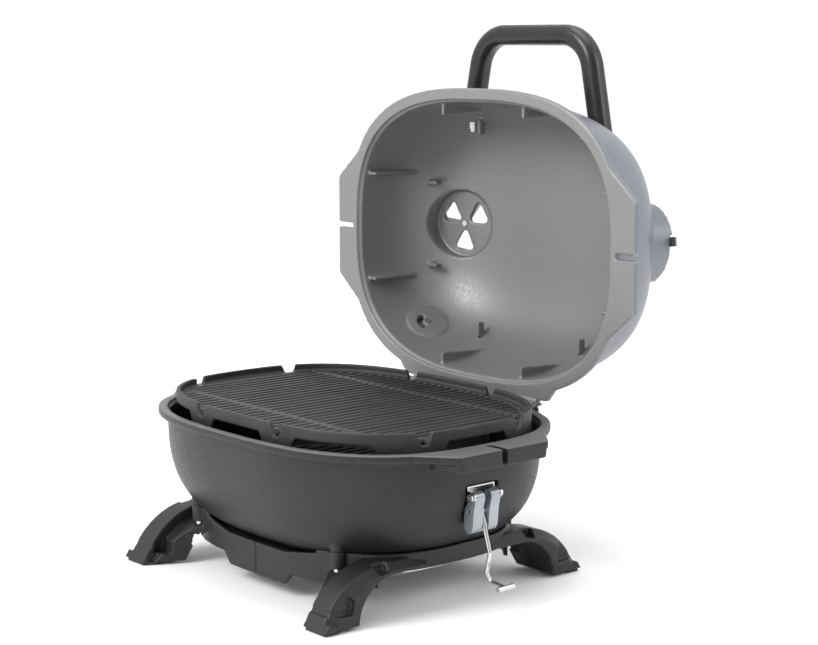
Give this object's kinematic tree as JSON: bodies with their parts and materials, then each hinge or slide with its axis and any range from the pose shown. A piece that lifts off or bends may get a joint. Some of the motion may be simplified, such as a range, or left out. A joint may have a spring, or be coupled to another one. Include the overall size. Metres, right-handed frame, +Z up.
{
  "type": "portable charcoal grill",
  "caption": "Portable cast charcoal grill on a four-legged moulded stand, with a hinged domed lid standing open, a slotted grate, turning vents and swinging hook latches.",
  "frame": {"origin": "centre of the footprint of the four feet, on the table the grill stands on", "axes": "+X along the grill towards one latch, +Y from the front towards the lid hinge, +Z up"},
  "size_m": [0.5664, 0.5663, 0.6694],
  "materials": {
    "black_cast": "fine textured matte black paint on cast aluminium",
    "grey_cast": "satin silver grey paint on cast aluminium",
    "cast_iron": "porcelain coated, matte",
    "black_steel": "matte black",
    "black_plastic": "fine textured glass-filled nylon",
    "handle_plastic": "satin",
    "rubber": "matte",
    "stainless": "brushed",
    "shield_steel": "satin",
    "damper_steel": "satin",
    "grey_casting": "satin grey on zinc casting",
    "chrome": "bright"
  },
  "bodies": {
    "base": {"base_bowl": "black_cast", "stand_left": "black_plastic", "stand_right": "black_plastic", "stand_screws": "stainless", "foot_pads": "rubber", "heat_shield": "shield_steel", "shield_screws": "stainless", "hinge_pin_left": "stainless", "hinge_pin_right": "stainless", "base_damper_rivet_left": "stainless", "base_damper_rivet_right": "stainless", "latch_bracket_left": "stainless", "latch_bracket_right": "stainless", "bracket_rivets_left": "stainless", "bracket_rivets_right": "stainless", "latch_pivot_screws_left": "stainless", "latch_pivot_screws_right": "stainless"},
    "charcoal_tray": {"charcoal_grate": "black_steel"},
    "grill_grate": {"cooking_grate": "cast_iron"},
    "lid": {"lid_shell": "grey_cast", "lid_handle": "handle_plastic", "handle_screws": "stainless", "handle_washers": "stainless", "lid_damper_rivet_left": "stainless", "lid_damper_rivet_right": "stainless", "port_rivet": "stainless"},
    "lid_vent_left": {"lid_damper_left": "damper_steel"},
    "lid_vent_right": {"lid_damper_right": "damper_steel"},
    "thermometer_port": {"port_cover": "damper_steel"},
    "base_vent_left": {"base_damper_left": "damper_steel"},
    "base_vent_right": {"base_damper_right": "damper_steel"},
    "lever_left": {"latch_lever_left": "grey_casting", "hook_pin_left": "stainless"},
    "lever_right": {"latch_lever_right": "grey_casting", "hook_pin_right": "stainless"},
    "hook_left": {"latch_hook_left": "chrome"},
    "hook_right": {"latch_hook_right": "chrome"}
  },
  "joints": [
    {"name": "lid_hinge", "type": "hinge", "parent": "base", "child": "lid", "pos_m": [0, 0.202, 0.192], "axis": [-1, 0, 0], "range_deg": [-90, 0]},
    {"name": "cooking_grate_lift", "type": "slide", "parent": "base", "child": "grill_grate", "axis": [0, 0, 1], "range_m": [0, 0.12]},
    {"name": "charcoal_grate_lift", "type": "slide", "parent": "base", "child": "charcoal_tray", "axis": [0, 0, 1], "range_m": [0, 0.05]},
    {"name": "lid_vent_right_turn", "type": "hinge", "parent": "lid", "child": "lid_vent_right", "pos_m": [0.169, 0.346, 0.394], "axis": [0.2079, 0.9781, 0], "range_deg": [0, 60]},
    {"name": "lid_vent_left_turn", "type": "hinge", "parent": "lid", "child": "lid_vent_left", "pos_m": [-0.169, 0.346, 0.394], "axis": [0.2079, -0.9781, 0], "range_deg": [0, 60]},
    {"name": "thermometer_port_turn", "type": "hinge", "parent": "lid", "child": "thermometer_port", "pos_m": [-0.174, 0.27949, 0.255], "axis": [-0.5324, 0.3054, -0.7895], "range_deg": [0, 120]},
    {"name": "base_vent_right_turn", "type": "hinge", "parent": "base", "child": "base_vent_right", "pos_m": [0.095, 0, 0.0385], "axis": [0, 0, -1], "range_deg": [0, 60]},
    {"name": "base_vent_left_turn", "type": "hinge", "parent": "base", "child": "base_vent_left", "pos_m": [-0.095, 0, 0.0385], "axis": [0, 0, 1], "range_deg": [0, 60]},
    {"name": "lever_right_swing", "type": "hinge", "parent": "base", "child": "lever_right", "pos_m": [0.245, 0, 0.136], "axis": [0, 1, 0], "range_deg": [-110, 0]},
    {"name": "hook_right_swing", "type": "hinge", "parent": "lever_right", "child": "hook_right", "pos_m": [0.2385, 0, 0.1175], "axis": [0, -1, 0], "range_deg": [0, 145]},
    {"name": "lever_left_swing", "type": "hinge", "parent": "base", "child": "lever_left", "pos_m": [-0.245, 0, 0.136], "axis": [0, -1, 0], "range_deg": [-110, 0]},
    {"name": "hook_left_swing", "type": "hinge", "parent": "lever_left", "child": "hook_left", "pos_m": [-0.2385, 0, 0.1175], "axis": [0, 1, 0], "range_deg": [0, 145]}
  ]
}
